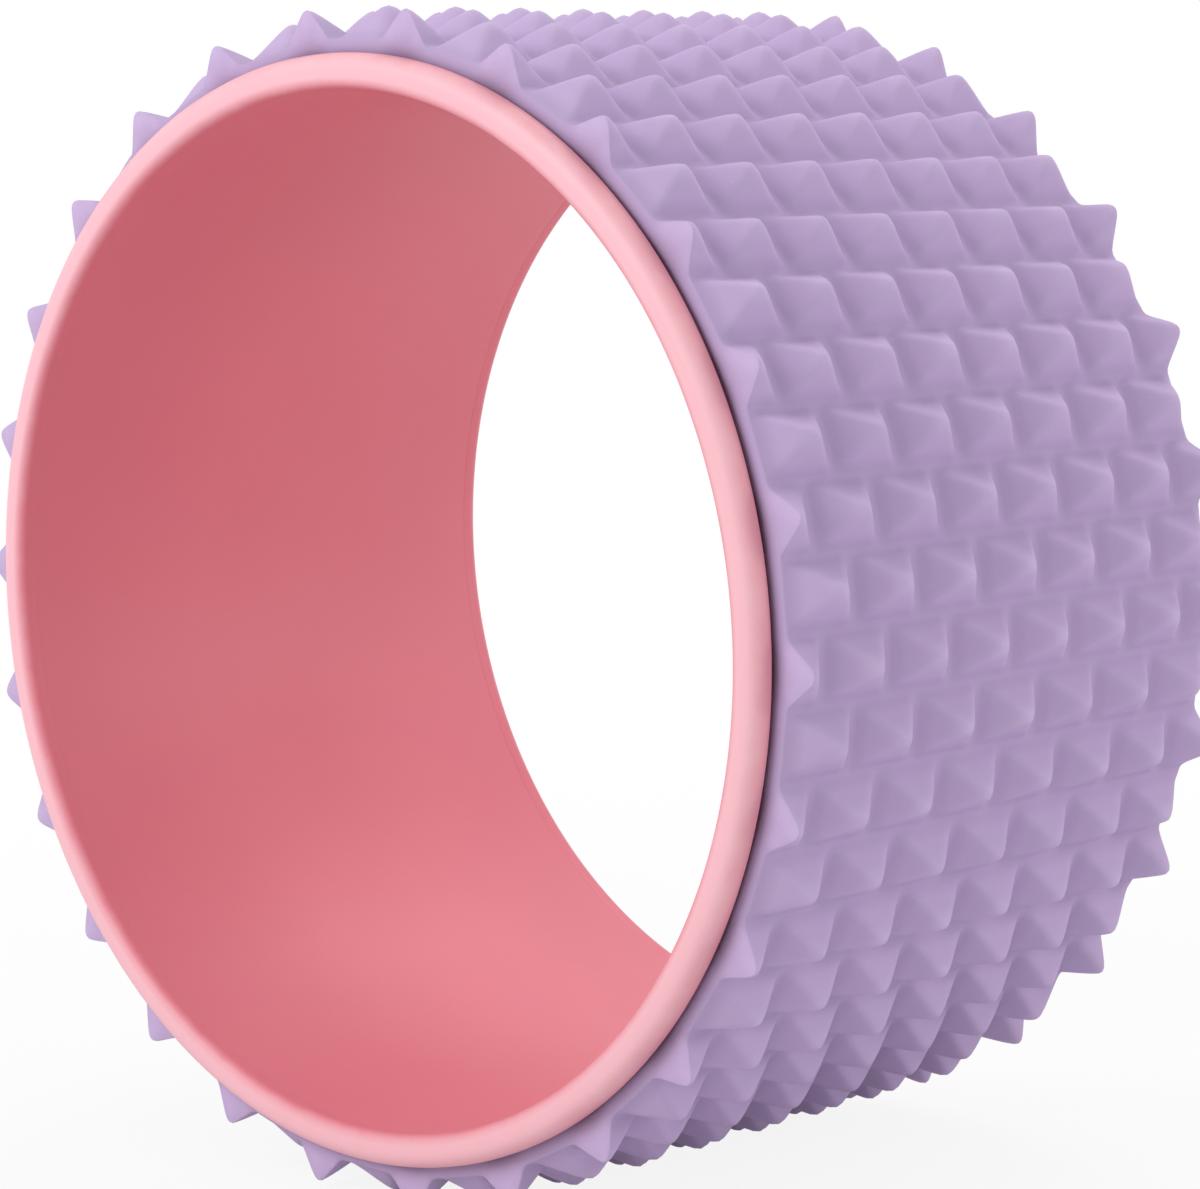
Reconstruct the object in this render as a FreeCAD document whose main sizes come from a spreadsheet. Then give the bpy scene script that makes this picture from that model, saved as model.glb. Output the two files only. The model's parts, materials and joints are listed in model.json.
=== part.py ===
"""Yoga wheel: a rigid hoop of one tube and two end rims, with a studded foam cover bonded round it.

The wheel's axis lies along Y, the front rim faces -Y, and Z is up. The origin is the wheel's centre.
Each piece is drawn about its own Z axis and then laid over, so that its Z runs along the wheel's axis.
All sizes are in millimetres and degrees.
"""

import FreeCAD
import Part
import Sketcher
import os

doc = FreeCAD.newDocument("yoga_wheel")

# Driving sizes: one row for each size that can be set by itself.
DRIVING_SIZES = [
    ("wheel_width", 187),
    ("bore_radius", 141),
    ("tube_wall", 6),
    ("lip_rise", 3.5),
    ("lip_length", 6),
    ("lip_bevel", 2.8),
    ("skirt_length", 12),
    ("skirt_wall", 2.6),
    ("fit_clearance", 0.1),
    ("bond_thickness", 0.3),
    ("bond_inset", 3),
    ("cover_end_gap", 1.2),
    ("cover_base", 6.7),
    ("row_count", 52),
    ("studs_in_row", 7),
    ("stud_height", 9),
    ("stud_land", 0.8),
    ("stud_tip_flat", 2.4),
]

# Sizes that follow from the driving ones, so that pieces which meet share one value.
# The cover is a whole number of studs wide, and every second row starts and ends with half a stud.
DERIVED_SIZES = [
    ("tube_radius", "bore_radius + tube_wall"),
    ("lip_radius", "tube_radius + lip_rise"),
    ("tube_length", "wheel_width - 2 * lip_length"),
    ("front_rebate_end", "skirt_length + fit_clearance"),
    ("rear_rebate_start", "tube_length - front_rebate_end"),
    ("skirt_bore_radius", "tube_radius - skirt_wall"),
    ("tongue_radius", "skirt_bore_radius - fit_clearance"),
    ("rim_length", "lip_length + skirt_length"),
    ("cover_width", "tube_length - 2 * cover_end_gap"),
    ("cover_bore_radius", "tube_radius + bond_thickness"),
    ("bond_length", "cover_width - 2 * bond_inset"),
    ("ground_radius", "cover_bore_radius + cover_base"),
    ("tip_radius", "ground_radius + stud_height"),
    ("row_half_angle", "180 / row_count"),
    ("row_half_flat", "ground_radius * tan(row_half_angle * 1 deg)"),
    ("ground_corner_radius", "ground_radius / cos(row_half_angle * 1 deg)"),
    ("stud_pitch", "cover_width / studs_in_row"),
    ("stud_half_width", "row_half_flat - stud_land / 2"),
    ("stud_half_length", "(stud_pitch - stud_land) / 2"),
    ("stud_half_tip", "stud_tip_flat / 2"),
    ("last_half_foot", "cover_width - stud_half_length"),
    ("last_half_tip", "cover_width - stud_half_tip"),
]

sizes = doc.addObject("Spreadsheet::Sheet", "Sizes")
for line, (alias, number) in enumerate(DRIVING_SIZES, start=1):
    sizes.set(f"A{line}", alias)
    sizes.set(f"B{line}", str(number))
    sizes.setAlias(f"B{line}", alias)
for line, (alias, formula) in enumerate(DERIVED_SIZES, start=1):
    sizes.set(f"D{line}", alias)
    sizes.set(f"E{line}", "=" + formula)
    sizes.setAlias(f"E{line}", alias)
doc.recompute()

# A piece's own Z axis points to the wheel's back, or to its front for the rim that is turned round.
NOWHERE = FreeCAD.Vector(0, 0, 0)
X_AXIS = FreeCAD.Vector(1, 0, 0)
Z_AXIS = FreeCAD.Vector(0, 0, 1)
TOWARDS_BACK = FreeCAD.Rotation(X_AXIS, -90)
TOWARDS_FRONT = FreeCAD.Rotation(X_AXIS, 90)
CORNER_DOWN = FreeCAD.Rotation(Z_AXIS, 90)
NO_TURN = FreeCAD.Rotation(Z_AXIS, 0)
# A turn whose angle a formula sets later: it can't start at zero, because a zero turn forgets its axis.
TURN_TO_SET = FreeCAD.Rotation(Z_AXIS, 1)


def size(alias):
    """The present value of a named size."""
    return float(sizes.get(alias))


def bind(target, formulas):
    """Ties an object's properties to formulas in the named sizes."""
    for path, formula in formulas.items():
        target.setExpression(path, formula)


def origin_item(body, role):
    """One of a body's own origin planes or axes."""
    return next(item for item in body.Origin.OriginFeatures if item.Role == role)


def lay_over(piece, rotation, start):
    """Lays a piece along the wheel's axis, with its own zero at the formula's place on that axis."""
    piece.Placement = FreeCAD.Placement(NOWHERE, rotation)
    bind(piece, {"Placement.Base.y": start})


def turned_ring(body, corners):
    """Revolves a closed outline about the body's Z axis; each corner names its radius and height, or 0."""
    outline = body.newObject("Sketcher::SketchObject", body.Name + "_outline")
    outline.AttachmentSupport = (origin_item(body, "XZ_Plane"), [""])
    outline.MapMode = "FlatFace"
    places = [[size(alias) if alias else 0 for alias in corner] for corner in corners]
    for start, end in zip(places, places[1:] + places[:1]):
        outline.addGeometry(Part.LineSegment(FreeCAD.Vector(*start), FreeCAD.Vector(*end)), False)
    for side in range(len(corners)):
        next_side = (side + 1) % len(corners)
        outline.addConstraint(Sketcher.Constraint("Coincident", side, 2, next_side, 1))
    for side, corner in enumerate(corners):
        for direction, alias, place in zip(("DistanceX", "DistanceY"), corner, places[side]):
            number = outline.addConstraint(Sketcher.Constraint(direction, -1, 1, side, 1, place))
            if alias:
                outline.setExpression(f"Constraints[{number}]", "Sizes." + alias)
    ring = body.newObject("PartDesign::Revolution", body.Name + "_ring")
    ring.Profile = outline
    ring.ReferenceAxis = (outline, ["V_Axis"])
    ring.Angle = 360
    doc.recompute()
    return ring


def bevel_lip(body, name):
    """Bevels the outer edge of the lip's front face."""
    ring = body.Tip
    edges = [f"Edge{number}" for number, edge in enumerate(ring.Shape.Edges, start=1)
             if isinstance(edge.Curve, Part.Circle)
             and edge.Curve.Center.Length < Part.Precision.confusion()
             and abs(edge.Curve.Radius - size("lip_radius")) < Part.Precision.confusion()]
    bevel = body.newObject("PartDesign::Chamfer", name)
    bevel.Base = (ring, edges)
    bind(bevel, {"Size": "Sizes.lip_bevel"})
    doc.recompute()


def core_tube():
    """The hoop's straight tube, stepped down at both ends to a tongue that the rims slip over."""
    body = doc.addObject("PartDesign::Body", "core_tube")
    turned_ring(body, [
        ("bore_radius", 0),
        ("tongue_radius", 0),
        ("tongue_radius", "front_rebate_end"),
        ("tube_radius", "front_rebate_end"),
        ("tube_radius", "rear_rebate_start"),
        ("tongue_radius", "rear_rebate_start"),
        ("tongue_radius", "tube_length"),
        ("bore_radius", "tube_length"),
    ])
    lay_over(body, TOWARDS_BACK, "-Sizes.tube_length / 2")
    return body


def end_rim(name, rotation, start):
    """A moulded end rim: a bevelled lip that stops the cover, and a skirt round the tube's tongue."""
    body = doc.addObject("PartDesign::Body", name)
    turned_ring(body, [
        ("bore_radius", 0),
        ("lip_radius", 0),
        ("lip_radius", "lip_length"),
        ("tube_radius", "lip_length"),
        ("tube_radius", "rim_length"),
        ("skirt_bore_radius", "rim_length"),
        ("skirt_bore_radius", "lip_length"),
        ("bore_radius", "lip_length"),
    ])
    bevel_lip(body, name + "_lip_bevel")
    lay_over(body, rotation, start)
    return body


def cover_bond():
    """The thin layer of glue that holds the cover on the tube and on the rims' skirts."""
    outside = doc.addObject("Part::Cylinder", "cover_bond_outside")
    bind(outside, {"Radius": "Sizes.cover_bore_radius", "Height": "Sizes.bond_length"})
    inside = doc.addObject("Part::Cylinder", "cover_bond_inside")
    bind(inside, {"Radius": "Sizes.tube_radius", "Height": "Sizes.bond_length"})
    layer = doc.addObject("Part::Cut", "cover_bond")
    layer.Base = outside
    layer.Tool = inside
    lay_over(layer, TOWARDS_BACK, "-Sizes.bond_length / 2")
    return layer


def attach_to_origin(body, feature, rotation):
    """Sets a feature on the body's own XY plane, turned about Z."""
    feature.AttachmentSupport = (origin_item(body, "XY_Plane"), [""])
    feature.MapMode = "FlatFace"
    feature.AttachmentOffset = FreeCAD.Placement(NOWHERE, rotation)


def add_stud(body, name, turn, base_start, tip_start, tip_end, base_end):
    """One blunt four-sided stud on the row with this turn; the four places are along the row."""
    stud = body.newObject("PartDesign::AdditiveWedge", name)
    attach_to_origin(body, stud, TURN_TO_SET)
    bind(stud, {
        "AttachmentOffset.Rotation.Angle": turn,
        "Xmin": "-Sizes.stud_half_width",
        "Xmax": "Sizes.stud_half_width",
        "X2min": "-Sizes.stud_half_tip",
        "X2max": "Sizes.stud_half_tip",
        "Ymin": "Sizes.ground_radius",
        "Ymax": "Sizes.tip_radius",
        "Zmin": base_start,
        "Zmax": base_end,
        "Z2min": tip_start,
        "Z2max": tip_end,
    })
    doc.recompute()
    return stud


def round_the_wheel(body, name):
    """A pattern that repeats a stud on every second row."""
    pattern = body.newObject("PartDesign::PolarPattern", name)
    pattern.Axis = (origin_item(body, "Z_Axis"), [""])
    pattern.Angle = 360
    bind(pattern, {"Occurrences": "Sizes.row_count / 2"})
    return pattern


def whole_studs(body, name, turn, first_tip, count):
    """The whole studs of every second row: one stud, repeated along its row and then round the wheel."""
    stud = add_stud(body, name + "_stud", turn,
                    f"{first_tip} - Sizes.stud_half_length", f"{first_tip} - Sizes.stud_half_tip",
                    f"{first_tip} + Sizes.stud_half_tip", f"{first_tip} + Sizes.stud_half_length")
    rows = body.newObject("PartDesign::MultiTransform", name + "_rows")
    rows.Originals = [stud]
    along = body.newObject("PartDesign::LinearPattern", name + "_along_row")
    along.Direction = (origin_item(body, "Z_Axis"), [""])
    bind(along, {"Length": f"Sizes.stud_pitch * ({count} - 1)", "Occurrences": count})
    rows.Transformations = [along, round_the_wheel(body, name + "_round")]
    body.Tip = rows
    doc.recompute()


def half_studs(body, name, turn, *places):
    """The studs of every second row that an edge of the cover cuts in half at their tips."""
    stud = add_stud(body, name + "_half_stud", turn, *places)
    pattern = round_the_wheel(body, name + "_half_studs")
    pattern.Originals = [stud]
    body.Tip = pattern
    doc.recompute()


def studded_cover():
    """The foam cover: a sleeve with a flat for each row of studs, cut square at both its edges."""
    body = doc.addObject("PartDesign::Body", "studded_cover")
    sleeve = body.newObject("PartDesign::AdditivePrism", "cover_sleeve")
    attach_to_origin(body, sleeve, CORNER_DOWN)
    bind(sleeve, {
        "Polygon": "Sizes.row_count",
        "Circumradius": "Sizes.ground_corner_radius",
        "Height": "Sizes.cover_width",
    })
    bore = body.newObject("PartDesign::SubtractiveCylinder", "cover_bore")
    attach_to_origin(body, bore, NO_TURN)
    bind(bore, {"Radius": "Sizes.cover_bore_radius", "Height": "Sizes.cover_width"})
    doc.recompute()
    uncut_row = "Sizes.row_half_angle"
    cut_row = "-Sizes.row_half_angle"
    whole_studs(body, "uncut", uncut_row, "Sizes.stud_pitch / 2", "Sizes.studs_in_row")
    whole_studs(body, "cut", cut_row, "Sizes.stud_pitch", "Sizes.studs_in_row - 1")
    half_studs(body, "front", cut_row, "0", "0", "Sizes.stud_half_tip", "Sizes.stud_half_length")
    half_studs(body, "rear", cut_row,
               "Sizes.last_half_foot", "Sizes.last_half_tip", "Sizes.cover_width", "Sizes.cover_width")
    lay_over(body, TOWARDS_BACK, "-Sizes.cover_width / 2")
    return body


pieces = [
    core_tube(),
    end_rim("front_rim", TOWARDS_BACK, "-Sizes.wheel_width / 2"),
    end_rim("rear_rim", TOWARDS_FRONT, "Sizes.wheel_width / 2"),
    cover_bond(),
    studded_cover(),
]
doc.recompute()

for item in doc.Objects:
    if {"Invalid", "Error"} & set(item.State):
        raise RuntimeError(f"{item.Label} failed: {item.State}")
for piece in pieces:
    if piece.Shape.isNull() or not piece.Shape.isValid() or len(piece.Shape.Solids) != 1:
        raise RuntimeError(f"{piece.Label} is not one valid solid")

os.makedirs("parts", exist_ok=True)
for piece in pieces:
    piece.Shape.exportStep(f"parts/{piece.Label}.step")
    box = piece.Shape.BoundBox
    print(f"{piece.Label}: {piece.Shape.Volume / 1000:.1f} cm3,"
          f" x {box.XMin:.2f} to {box.XMax:.2f}, y {box.YMin:.2f} to {box.YMax:.2f},"
          f" z {box.ZMin:.2f} to {box.ZMax:.2f}, {len(piece.Shape.Faces)} faces")
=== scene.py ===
"""Yoga wheel: a pink plastic hoop of a tube and two end rims, with a lilac studded foam cover round it.

The wheel's axis lies along Y, the front rim faces -Y, Z is up and the origin is the wheel's centre. Metres.
"""

import json
import math
import bpy
import numpy as np
from mathutils import Matrix
from mathutils import Vector


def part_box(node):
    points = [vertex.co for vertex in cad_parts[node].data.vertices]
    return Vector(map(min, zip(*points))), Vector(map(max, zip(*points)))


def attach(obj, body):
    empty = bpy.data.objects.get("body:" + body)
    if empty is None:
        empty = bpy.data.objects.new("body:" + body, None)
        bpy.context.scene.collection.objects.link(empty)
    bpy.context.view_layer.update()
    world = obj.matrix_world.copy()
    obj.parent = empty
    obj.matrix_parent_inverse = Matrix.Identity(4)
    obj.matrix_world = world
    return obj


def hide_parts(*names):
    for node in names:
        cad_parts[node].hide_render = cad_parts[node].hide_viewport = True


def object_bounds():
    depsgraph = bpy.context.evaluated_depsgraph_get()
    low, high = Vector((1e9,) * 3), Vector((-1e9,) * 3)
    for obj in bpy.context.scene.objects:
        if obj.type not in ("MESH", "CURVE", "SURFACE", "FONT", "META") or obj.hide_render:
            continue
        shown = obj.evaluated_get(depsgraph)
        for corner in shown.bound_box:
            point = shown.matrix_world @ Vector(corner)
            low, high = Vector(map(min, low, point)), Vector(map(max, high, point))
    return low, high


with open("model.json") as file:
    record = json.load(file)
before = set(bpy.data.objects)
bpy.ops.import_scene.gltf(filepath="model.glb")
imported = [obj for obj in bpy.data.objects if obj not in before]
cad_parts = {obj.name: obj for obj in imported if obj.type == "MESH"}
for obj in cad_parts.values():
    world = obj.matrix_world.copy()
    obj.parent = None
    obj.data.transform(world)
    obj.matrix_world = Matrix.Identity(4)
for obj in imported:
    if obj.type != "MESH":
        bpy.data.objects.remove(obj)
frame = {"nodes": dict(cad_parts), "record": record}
cad_low, cad_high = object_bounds()


# Core tube: the smooth straight hoop that carries the weight, extruded in pink plastic.
# Each end is turned down to a tongue, and an end rim slips over it and is welded on.
MM = 0.001
bore_mount = next(mount for mount in frame["record"]["mounts"] if mount["name"] == "bore")
bore_radius = bore_mount["dims"]["r_mm"] * MM
tube_wall = 6.0 * MM
tube_radius = bore_radius + tube_wall
tube_half_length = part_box("core_tube")[1].y
tongue_wall = 3.3 * MM
tongue_length = 12.1 * MM
tube_corner_round = 0.08 * MM
ring_steps = 384
round_steps = 7


def rounded_outline(corners, rounds):
    """A closed outline with its corners rounded: each corner gives way to an arc tangent to both its sides.

    The arc's points are weighted sums, by sines of the angle left and gone, of its two radius vectors.
    """
    corner = np.array(corners, float)
    radius = np.array(rounds, float)[:, None]
    to_last = np.roll(corner, 1, axis=0) - corner
    to_next = np.roll(corner, -1, axis=0) - corner
    to_last /= np.linalg.norm(to_last, axis=1, keepdims=True)
    to_next /= np.linalg.norm(to_next, axis=1, keepdims=True)
    half_angle = np.arccos(np.clip((to_last * to_next).sum(1, keepdims=True), -1, 1)) / 2
    middle = to_last + to_next
    middle /= np.linalg.norm(middle, axis=1, keepdims=True)
    centre = corner + middle * radius / np.sin(half_angle)
    first = corner + to_last * radius / np.tan(half_angle) - centre
    last = corner + to_next * radius / np.tan(half_angle) - centre
    sweep = (math.pi - 2 * half_angle)[:, None, :]
    share = np.linspace(0, 1, round_steps)[None, :, None]
    arc = np.sin((1 - share) * sweep) * first[:, None] + np.sin(share * sweep) * last[:, None]
    return (centre[:, None] + arc / np.sin(sweep)).reshape(-1, 2)


def mesh_from_grid(name, points, values, other_diagonal=False):
    """A closed surface from a grid of points that joins up with itself both ways.

    The values are named numbers on the points, and the mask tells which cells fold on their other diagonal.
    """
    rows, columns = points.shape[:2]
    row, column = np.meshgrid(np.arange(rows), np.arange(columns), indexing="ij")
    next_row = (row + 1) % rows
    next_column = (column + 1) % columns
    corners = [(row, column), (next_row, column), (next_row, next_column), (row, next_column)]
    quads = np.stack([r * columns + c for r, c in corners], -1)
    folds = np.broadcast_to(other_diagonal, (rows, columns))[..., None]
    quads = np.where(folds, np.roll(quads, 1, axis=-1), quads).reshape(-1, 4)
    mesh = bpy.data.meshes.new(name)
    mesh.from_pydata(points.reshape(-1, 3).tolist(), [], quads.tolist())
    mesh.polygons.foreach_set("use_smooth", np.ones(len(quads), bool))
    for label, value in values.items():
        attribute = mesh.attributes.new(label, "FLOAT", "POINT")
        attribute.data.foreach_set("value", np.ascontiguousarray(value, np.float32).ravel())
    mesh.update()
    piece = bpy.data.objects.new(name, mesh)
    bpy.context.scene.collection.objects.link(piece)
    return piece


def turned_ring(name, outline, edge, painted_lit_share):
    """A closed outline of (radius, place along the axis) carried round the wheel's axis.

    Each point of the outline has how far it gets rubbed, and its share of painted light: 1 gives the paler
    pink painted for lit rim faces, 0 the deeper pink painted for shade.
    """
    turn = np.linspace(0, 2 * math.pi, ring_steps, endpoint=False)[:, None]
    radius = outline[None, :, 0]
    along = np.broadcast_to(outline[None, :, 1], (ring_steps, len(outline)))
    points = np.stack([radius * np.cos(turn), along, radius * np.sin(turn)], -1)
    values = {"edge": np.broadcast_to(edge, along.shape), "painted_lit_share": np.broadcast_to(painted_lit_share, along.shape)}
    return mesh_from_grid(name, points, values)


def shader_node(tree, kind, inputs, **settings):
    """A node with its settings made, and its inputs given a number or joined to another node's output."""
    node = tree.nodes.new(kind)
    for setting, value in settings.items():
        setattr(node, setting, value)
    for name, value in inputs.items():
        if isinstance(value, bpy.types.NodeSocket):
            tree.links.new(value, node.inputs[name])
        else:
            node.inputs[name].default_value = value
    return node


def mixed_colour(tree, share, first, second):
    """The first colour, giving way to the second by a share, on a Mix node's own sockets for colours."""
    node = shader_node(tree, "ShaderNodeMix", {0: share, 6: first, 7: second}, data_type="RGBA")
    return node.outputs[2]


def shader_group(name, inputs, outputs):
    """An empty node group with named inputs and value outputs, and its two end nodes."""
    tree = bpy.data.node_groups.new(name, "ShaderNodeTree")
    for socket, kind in inputs.items():
        tree.interface.new_socket(socket, in_out="INPUT", socket_type=kind)
    for socket in outputs:
        tree.interface.new_socket(socket, in_out="OUTPUT", socket_type="NodeSocketFloat")
    return tree, tree.nodes.new("NodeGroupInput"), tree.nodes.new("NodeGroupOutput")


def moulded_skin_group():
    """The skin of a moulding: a fine grain and a broad unevenness, each a noise at its own scale."""
    tree, given, put_out = shader_group(
        "moulded_skin",
        {"Place": "NodeSocketVector", "Grain Scale": "NodeSocketFloat", "Broad Scale": "NodeSocketFloat"},
        ["Grain", "Broad"],
    )
    for output, scale, detail in (("Grain", "Grain Scale", 2.0), ("Broad", "Broad Scale", 3.0)):
        noise = shader_node(tree, "ShaderNodeTexNoise", {
            "Vector": given.outputs["Place"], "Scale": given.outputs[scale],
            "Detail": detail, "Roughness": 0.55})
        tree.links.new(noise.outputs["Fac"], put_out.inputs[output])
    return tree


def rubbed_group():
    """Where hands and floors rub: the parts that stand out, broken up by a noise so that no rub is even."""
    tree, given, put_out = shader_group(
        "rubbed", {"Place": "NodeSocketVector", "Standing Out": "NodeSocketFloat"}, ["Rub"])
    patches = shader_node(tree, "ShaderNodeTexNoise", {
        "Vector": given.outputs["Place"], "Scale": 55.0, "Detail": 4.0, "Roughness": 0.65})
    uneven = shader_node(tree, "ShaderNodeMapRange", {
        "Value": patches.outputs["Fac"], "From Min": 0.35, "From Max": 0.65},
        interpolation_type="SMOOTHSTEP")
    rub = shader_node(tree, "ShaderNodeMath", {
        0: uneven.outputs["Result"], 1: given.outputs["Standing Out"]}, operation="MULTIPLY")
    tree.links.new(rub.outputs["Value"], put_out.inputs["Rub"])
    return tree


def srgb(red, green, blue):
    """A colour in 0 to 255 screen values as the linear colour that a shader takes."""
    screen = np.array([red, green, blue]) / 255
    linear = np.where(screen <= 0.04045, screen / 12.92, ((screen + 0.055) / 1.055) ** 2.4)
    return (*linear.tolist(), 1.0)


moulded_skin = moulded_skin_group()
rubbed = rubbed_group()


def hoop_plastic_material():
    """Satin moulded plastic of one pink: painted shade makes it deeper in the bore, and painted light makes
    it paler on the rims. It is dull where it is rubbed.
    """
    # Painted light and shade: the deeper bore pinks stand for the plastic in shade, and the paler rim pinks
    # for the same plastic lit.
    shaded_bore_pinks = srgb(221, 123, 137), srgb(227, 132, 146)
    lit_rim_pinks = srgb(241, 180, 190), srgb(245, 188, 198)
    rubbed_pink = srgb(246, 203, 208)
    most_rubbed = 0.3
    dulling = 0.3
    material = bpy.data.materials.new("hoop_plastic")
    material.use_nodes = True
    tree = material.node_tree
    shader = tree.nodes["Principled BSDF"]
    place = shader_node(tree, "ShaderNodeTexCoord", {}).outputs["Object"]
    edge = shader_node(tree, "ShaderNodeAttribute", {}, attribute_name="edge").outputs["Fac"]
    painted_lit_share = shader_node(tree, "ShaderNodeAttribute", {}, attribute_name="painted_lit_share").outputs["Fac"]
    skin = shader_node(tree, "ShaderNodeGroup", {
        "Place": place, "Grain Scale": 1900.0, "Broad Scale": 16.0}, node_tree=moulded_skin)
    rub = shader_node(tree, "ShaderNodeGroup", {"Place": place, "Standing Out": edge}, node_tree=rubbed)
    shaded_bore_pink = mixed_colour(tree, skin.outputs["Broad"], *shaded_bore_pinks)
    lit_rim_pink = mixed_colour(tree, skin.outputs["Broad"], *lit_rim_pinks)
    pink = mixed_colour(tree, painted_lit_share, shaded_bore_pink, lit_rim_pink)
    rub_share = shader_node(tree, "ShaderNodeMath", {
        0: rub.outputs["Rub"], 1: most_rubbed}, operation="MULTIPLY").outputs["Value"]
    tree.links.new(mixed_colour(tree, rub_share, pink, rubbed_pink), shader.inputs["Base Color"])
    satin = shader_node(tree, "ShaderNodeMapRange", {
        "Value": skin.outputs["Grain"], "To Min": 0.42, "To Max": 0.52})
    dulled = shader_node(tree, "ShaderNodeMath", {
        0: rub_share, 1: dulling, 2: satin.outputs["Result"]}, operation="MULTIPLY_ADD")
    tree.links.new(dulled.outputs["Value"], shader.inputs["Roughness"])
    bump = shader_node(tree, "ShaderNodeBump", {
        "Height": skin.outputs["Grain"], "Strength": 0.25, "Distance": 0.05 * MM})
    tree.links.new(bump.outputs["Normal"], shader.inputs["Normal"])
    shader.inputs["Specular IOR Level"].default_value = 0.45
    return material


hoop_plastic = hoop_plastic_material()
tube_outline = [
    (bore_radius, tube_half_length),
    (bore_radius + tongue_wall, tube_half_length),
    (bore_radius + tongue_wall, tube_half_length - tongue_length),
    (tube_radius, tube_half_length - tongue_length),
    (tube_radius, tongue_length - tube_half_length),
    (bore_radius + tongue_wall, tongue_length - tube_half_length),
    (bore_radius + tongue_wall, -tube_half_length),
    (bore_radius, -tube_half_length),
]
tube_points = rounded_outline(tube_outline, [tube_corner_round] * len(tube_outline))
core_tube = turned_ring("core_tube_smooth", tube_points, 0.0, 0.0)
core_tube.data.materials.append(hoop_plastic)
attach(core_tube, "root")
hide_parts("core_tube")


# End rims: two alike rings moulded in the same pink plastic, with a rounded lip that stops the cover.
# A thin skirt behind the lip slips over the tube's tongue and is welded there.
lip_rise = 3.5 * MM
lip_radius = tube_radius + lip_rise
lip_length = 6.0 * MM
lip_round = 4.4 * MM
shoulder_round = 0.8 * MM
skirt_wall = 2.6 * MM
skirt_round = 0.3 * MM
seat_round = 0.2 * MM
bore_round = 3.0 * MM
# The rim's paler pink is painted light. It fades to the deeper pink of painted shade down the lip's side and
# into the gap towards the tube: these are its shares at depths behind the rim's face.
painted_lit_depths = np.array([0.0, 3.0, 5.2, 6.0]) * MM
painted_lit_shares = [1.0, 0.5, 0.45, 0.0]
rim_face = -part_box("front_rim")[0].y
rim_end = -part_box("front_rim")[1].y
lip_shoulder = rim_face - lip_length
skirt_bore = tube_radius - skirt_wall
# Each corner of the rear rim's outline: its radius, place on the axis, round, and how much it is rubbed.
rim_corners = np.array([
    (bore_radius, lip_shoulder, tube_corner_round, 0.0),
    (bore_radius, rim_face, bore_round, 0.6),
    (lip_radius, rim_face, lip_round, 1.0),
    (lip_radius, lip_shoulder, shoulder_round, 0.5),
    (tube_radius, lip_shoulder, skirt_round, 0.0),
    (tube_radius, rim_end, skirt_round, 0.0),
    (skirt_bore, rim_end, skirt_round, 0.0),
    (skirt_bore, lip_shoulder, seat_round, 0.0),
])
arc_middle = np.sin(np.linspace(0, math.pi, round_steps))
for node, side, corners in (("rear_rim", 1, rim_corners), ("front_rim", -1, rim_corners[::-1])):
    rim_points = rounded_outline(corners[:, :2] * (1, side), corners[:, 2])
    rubbed_edge = (corners[:, 3:] * arc_middle).ravel()
    # Painted shade: the bore round, the lip's side and the gap get the deeper pink, and the lit face gets
    # the paler one.
    out_of_bore = np.clip((rim_points[:, 0] - bore_radius) / bore_round, 0, 1)
    painted_lit_share = out_of_bore * np.interp(rim_face - side * rim_points[:, 1], painted_lit_depths, painted_lit_shares)
    rim = turned_ring(node + "_rounded", rim_points, rubbed_edge, painted_lit_share)
    rim.data.materials.append(hoop_plastic)
    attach(rim, "root")
    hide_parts(node)


# Cover bond: the thin layer of cured glue that holds the cover on the hoop.
# Only its edge can be glimpsed, deep in the gap beside each lip.
bond_thickness = 0.3 * MM
glue_reds = srgb(96, 44, 62), srgb(128, 66, 84)
bond_glue = bpy.data.materials.new("bond_glue")
bond_glue.use_nodes = True
bond_tree = bond_glue.node_tree
bond_shader = bond_tree.nodes["Principled BSDF"]
bond_place = shader_node(bond_tree, "ShaderNodeTexCoord", {}).outputs["Object"]
bond_skin = shader_node(bond_tree, "ShaderNodeGroup", {
    "Place": bond_place, "Grain Scale": 700.0, "Broad Scale": 60.0}, node_tree=moulded_skin)
bond_colour = mixed_colour(bond_tree, bond_skin.outputs["Broad"], *glue_reds)
bond_tree.links.new(bond_colour, bond_shader.inputs["Base Color"])
bond_bump = shader_node(bond_tree, "ShaderNodeBump", {
    "Height": bond_skin.outputs["Grain"], "Strength": 0.4, "Distance": 0.1 * MM})
bond_tree.links.new(bond_bump.outputs["Normal"], bond_shader.inputs["Normal"])
bond_shader.inputs["Roughness"].default_value = 0.6
bond_mesh = frame["nodes"]["cover_bond"].data
bond_mesh.materials.clear()
bond_mesh.materials.append(bond_glue)


# Studded cover: one lilac sleeve of closed-cell foam, moulded with staggered rows of blunt four-sided studs.
# Its ends are cut square through the tips of every second row, and it is bonded round the hoop.
cover_width = 2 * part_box("studded_cover")[1].y
cover_bore = tube_radius + bond_thickness
cover_base = 6.7 * MM
ground_radius = cover_bore + cover_base
stud_height = 9.0 * MM
row_count = 52
studs_in_row = 7
steps_per_half_stud = 8
tip_round = 0.15
foot_round = 0.15
ridge_softness = 0.08
cut_round = 0.5 * MM


def slope_fall(distance):
    """How far a stud's slope has fallen at a share of the way from its tip to its foot, from 0 to 1.

    The slope is steady but fades out at the blunt tip and the rounded foot, and its running sum is the fall.
    """
    samples = 401
    share = np.linspace(0, 1, samples)
    steepness = share / np.hypot(share, tip_round) * (1 - share) / np.hypot(1 - share, foot_round)
    fall = np.cumsum(steepness)
    return np.interp(distance, share, fall / fall[-1])


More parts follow.
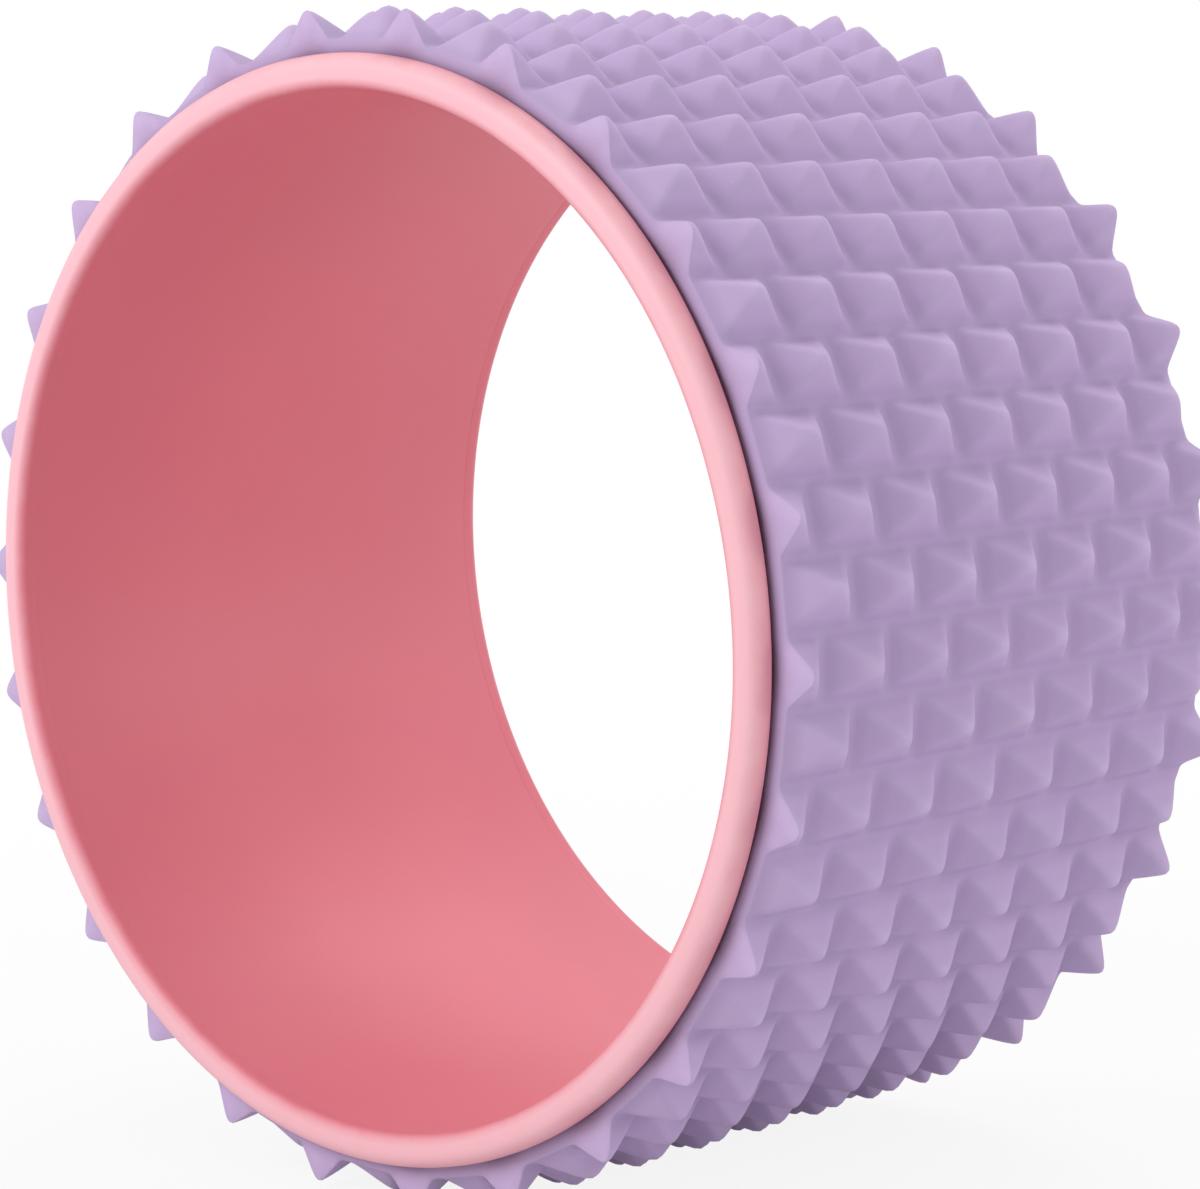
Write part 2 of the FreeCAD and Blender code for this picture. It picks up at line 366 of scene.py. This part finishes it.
def stud_rise(across, along):
    """A stud's height, from 0 to 1: the lower of the two slopes that meet at its softened ridges.

    The soft lower value is minus the logarithm of the sum of both slopes' exponentials, made 1 at the tip.
    """
    slopes = np.stack(np.broadcast_arrays(1 - slope_fall(across), 1 - slope_fall(along)))
    lower = -ridge_softness * np.log(np.exp(-slopes / ridge_softness).sum(0))
    tip = 1 - ridge_softness * math.log(2)
    return np.clip(lower / tip, 0, 1)


def studded_sleeve(name):
    """The whole cover, from a closed line along it that is carried round the rows of studs.

    A point of the outside is a row's flat, raised along the row's normal by the stud's height there. Every
    second row starts half a stud later. The line runs from the back edge to the front and home by the bore.
    """
    steps = 2 * steps_per_half_stud
    column = np.arange(row_count * steps)
    row = column // steps
    across = (column % steps) / steps_per_half_stud - 1
    lowest_turn = -math.pi / 2
    turn = lowest_turn + (row + 0.5) * 2 * math.pi / row_count
    half_flat = ground_radius * math.tan(math.pi / row_count)
    slant = turn + np.arctan(across * half_flat / ground_radius)
    normal = np.stack([np.cos(turn), 0 * turn, np.sin(turn)], -1)[:, None]
    sideways = np.stack([-np.sin(turn), 0 * turn, np.cos(turn)], -1)[:, None]
    bore_way = np.stack([np.cos(slant), 0 * slant, np.sin(slant)], -1)[:, None]
    axis = np.array([0.0, 1.0, 0.0])
    # The cut edge's quarter round is three points, with the middle one 0.3 of its radius from both sides.
    cut_edge = np.array([0, 0.3, 1]) * cut_round
    between = np.linspace(0, cover_width, studs_in_row * steps + 1)[1:-1]
    from_front = np.concatenate([cut_edge, between, cover_width - cut_edge[::-1]])[::-1]
    dropped = np.concatenate([cut_edge[::-1], 0 * between, cut_edge])
    along = from_front - cover_width / 2
    stagger = np.where(row % 2 == 0, 0.0, 0.5)[:, None]
    phase = from_front[None] / cover_width * studs_in_row - stagger
    past_tip = 2 * (phase - np.round(phase))
    rise = stud_rise(np.abs(across)[:, None], np.abs(past_tip))
    outer = (normal * (ground_radius + stud_height * rise - dropped)[..., None]
             + sideways * (across * half_flat)[:, None, None] + axis * along[None, :, None])
    bore_along = np.array([-0.5, 0.5]) * cover_width
    bore = bore_way * cover_bore + axis * bore_along[None, :, None]
    points = np.concatenate([outer, bore], axis=1)
    hidden = np.zeros(bore.shape[:2])
    height = np.concatenate([rise, hidden], axis=1)
    ridge_side = (across + 0.5 / steps_per_half_stud)[:, None] * np.roll(past_tip, -1, axis=1)
    other_diagonal = np.concatenate([ridge_side > 0, hidden > 0], axis=1)
    return mesh_from_grid(name, points, {"height": height}, other_diagonal)


def cover_foam_material():
    """Matt foam: fine cells, a drifting lilac, rubbed pale stud tips, and valleys darkened by dust and by
    painted shade.
    """
    drifting_lilacs = srgb(189, 166, 206), srgb(196, 173, 212)
    # Dust and painted shade: the valley lilac is the deeper tone that the valleys are given.
    valley_lilac = srgb(166, 143, 183)
    rubbed_lilac = srgb(212, 192, 226)
    most_dust_and_shade = 0.42
    most_rubbed = 0.3
    material = bpy.data.materials.new("cover_foam")
    material.use_nodes = True
    tree = material.node_tree
    shader = tree.nodes["Principled BSDF"]
    place = shader_node(tree, "ShaderNodeTexCoord", {}).outputs["Object"]
    height = shader_node(tree, "ShaderNodeAttribute", {}, attribute_name="height").outputs["Fac"]
    skin = shader_node(tree, "ShaderNodeGroup", {
        "Place": place, "Grain Scale": 1300.0, "Broad Scale": 34.0}, node_tree=moulded_skin)
    tip = shader_node(tree, "ShaderNodeMapRange", {
        "Value": height, "From Min": 0.6, "From Max": 1.0}, interpolation_type="SMOOTHSTEP")
    rub = shader_node(tree, "ShaderNodeGroup", {
        "Place": place, "Standing Out": tip.outputs["Result"]}, node_tree=rubbed)
    drift = mixed_colour(tree, skin.outputs["Broad"], *drifting_lilacs)
    # Dust and painted shade: the valleys, low on the studs, are darkened towards the deeper valley lilac.
    valley = shader_node(tree, "ShaderNodeMapRange", {
        "Value": height, "From Min": 0.0, "From Max": 0.4, "To Min": most_dust_and_shade, "To Max": 0.0},
        interpolation_type="SMOOTHSTEP")
    dust_and_shade = mixed_colour(tree, valley.outputs["Result"], drift, valley_lilac)
    rub_share = shader_node(tree, "ShaderNodeMath", {
        0: rub.outputs["Rub"], 1: most_rubbed}, operation="MULTIPLY").outputs["Value"]
    tree.links.new(mixed_colour(tree, rub_share, dust_and_shade, rubbed_lilac), shader.inputs["Base Color"])
    matt = shader_node(tree, "ShaderNodeMapRange", {
        "Value": skin.outputs["Grain"], "To Min": 0.62, "To Max": 0.85})
    tree.links.new(matt.outputs["Result"], shader.inputs["Roughness"])
    bump = shader_node(tree, "ShaderNodeBump", {
        "Height": skin.outputs["Grain"], "Strength": 0.5, "Distance": 0.12 * MM})
    tree.links.new(bump.outputs["Normal"], shader.inputs["Normal"])
    return material


cover = studded_sleeve("studded_cover_foam")
cover.data.materials.append(cover_foam_material())
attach(cover, "root")
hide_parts("studded_cover")


# Floor: a plain white studio floor under the two rows of studs that the wheel stands on.
# To the eye it glows white, and only near the wheel does it take some of its shade from the lamps.
floor_half = 30.0
floor_level = cad_low.z
shade_near = 0.2
shade_far = 0.9
least_glow = 0.88
floor_mesh = bpy.data.meshes.new("floor")
floor_mesh.from_pydata(
    [(x * floor_half, y * floor_half, floor_level) for x, y in ((-1, -1), (1, -1), (1, 1), (-1, 1))],
    [], [(0, 1, 2, 3)])
floor = bpy.data.objects.new("floor", floor_mesh)
bpy.context.scene.collection.objects.link(floor)
floor_white = bpy.data.materials.new("floor_white")
floor_white.use_nodes = True
floor_tree = floor_white.node_tree
floor_tree.nodes.clear()


def seen_directly(tree):
    """A mask that is 1 for rays that show a thing to the eye: from the camera, a gloss or a clear body."""
    path = shader_node(tree, "ShaderNodeLightPath", {})
    gloss = shader_node(tree, "ShaderNodeMath", {
        0: path.outputs["Is Camera Ray"], 1: path.outputs["Is Glossy Ray"]}, operation="MAXIMUM")
    clear = shader_node(tree, "ShaderNodeMath", {
        0: gloss.outputs["Value"], 1: path.outputs["Is Transmission Ray"]}, operation="MAXIMUM")
    return clear.outputs["Value"]


floor_place = shader_node(floor_tree, "ShaderNodeTexCoord", {}).outputs["Object"]
floor_distance = shader_node(floor_tree, "ShaderNodeVectorMath", {0: floor_place}, operation="LENGTH")
floor_glow = shader_node(floor_tree, "ShaderNodeMapRange", {
    "Value": floor_distance.outputs["Value"], "From Min": shade_near, "From Max": shade_far,
    "To Min": least_glow, "To Max": 1.0}, interpolation_type="SMOOTHSTEP")
floor_seen_glow = shader_node(floor_tree, "ShaderNodeMath", {
    0: floor_glow.outputs["Result"], 1: seen_directly(floor_tree)}, operation="MULTIPLY")
floor_matt = shader_node(floor_tree, "ShaderNodeBsdfDiffuse", {"Color": srgb(235, 235, 236)})
floor_light = shader_node(floor_tree, "ShaderNodeEmission", {"Strength": 1.0})
floor_mix = shader_node(floor_tree, "ShaderNodeMixShader", {
    0: floor_seen_glow.outputs["Value"], 1: floor_matt.outputs["BSDF"], 2: floor_light.outputs["Emission"]})
shader_node(floor_tree, "ShaderNodeOutputMaterial", {"Surface": floor_mix.outputs["Shader"]})
floor_mesh.materials.append(floor_white)


# Studio: an even pale room, a large soft lamp in front, and smaller ones high at the back and at the right.
# The room looks white, but lights the wheel less than that, so that the lamps bring out the studs.
room_light = 0.63
room_white = 1.0
wheel_centre = Vector((0.0, 0.0, 0.0))
studio = bpy.data.worlds.new("studio")
studio.use_nodes = True
studio_tree = studio.node_tree
studio_tree.nodes.clear()
studio_strength = shader_node(studio_tree, "ShaderNodeMapRange", {
    "Value": seen_directly(studio_tree), "To Min": room_light, "To Max": room_white})
studio_white = shader_node(studio_tree, "ShaderNodeBackground", {
    "Color": (1.0, 1.0, 1.0, 1.0), "Strength": studio_strength.outputs["Result"]})
shader_node(studio_tree, "ShaderNodeOutputWorld", {"Surface": studio_white.outputs["Background"]})
bpy.context.scene.world = studio
bpy.context.scene.view_settings.view_transform = "Standard"


def soft_lamp(name, direction, distance, width, white_share):
    """A square lamp that faces the wheel's centre.

    Its power is the share of full white that it gives there, times the squares of pi and of its distance.
    """
    lamp = bpy.data.lights.new(name, "AREA")
    lamp.size = width
    lamp.energy = white_share * math.pi ** 2 * distance ** 2
    holder = bpy.data.objects.new(name, lamp)
    away = Vector(direction).normalized()
    facing = away.to_track_quat("Z", "Y").to_matrix().to_4x4()
    holder.matrix_world = Matrix.Translation(wheel_centre + away * distance) @ facing
    bpy.context.scene.collection.objects.link(holder)


soft_lamp("front_lamp", direction=(-0.2, -0.8, 0.5), distance=1.6, width=0.9, white_share=0.46)
soft_lamp("top_lamp", direction=(0.0, 0.5, 0.8), distance=1.4, width=0.6, white_share=0.24)
soft_lamp("side_lamp", direction=(0.8, 0.55, 0.2), distance=1.5, width=0.5, white_share=0.18)


# Camera: halfway round from the wheel's front to its right, level with its upper half, with a long lens.
# The small roll is the photograph's own tilt, and the aim is how far off its middle the wheel's centre is.
photo_width = 1200
camera_turn = math.radians(44.51)
camera_drop = math.radians(5.23)
camera_roll = math.radians(-2.53)
camera_distance = 1.101
focal_pixels = 3844.1
aim_right_pixels = -16.4
aim_down_pixels = -10.3
aim_right = aim_right_pixels / focal_pixels * camera_distance
aim_down = aim_down_pixels / focal_pixels * camera_distance
forward = Vector((-math.sin(camera_turn) * math.cos(camera_drop),
                  math.cos(camera_turn) * math.cos(camera_drop),
                  -math.sin(camera_drop)))
level_right = forward.cross(Vector((0, 0, 1))).normalized()
level_up = level_right.cross(forward)
right = level_right * math.cos(camera_roll) + level_up * math.sin(camera_roll)
up = level_up * math.cos(camera_roll) - level_right * math.sin(camera_roll)
camera_place = -forward * camera_distance - right * aim_right + up * aim_down
lens = bpy.data.cameras.new("camera")
lens.sensor_fit = "HORIZONTAL"
lens.sensor_width = 36.0
lens.lens = focal_pixels / photo_width * lens.sensor_width
camera = bpy.data.objects.new("camera", lens)
camera_facing = Matrix((right, up, -forward)).transposed().to_4x4()
camera.matrix_world = Matrix.Translation(camera_place) @ camera_facing
bpy.context.scene.collection.objects.link(camera)
bpy.context.scene.camera = camera
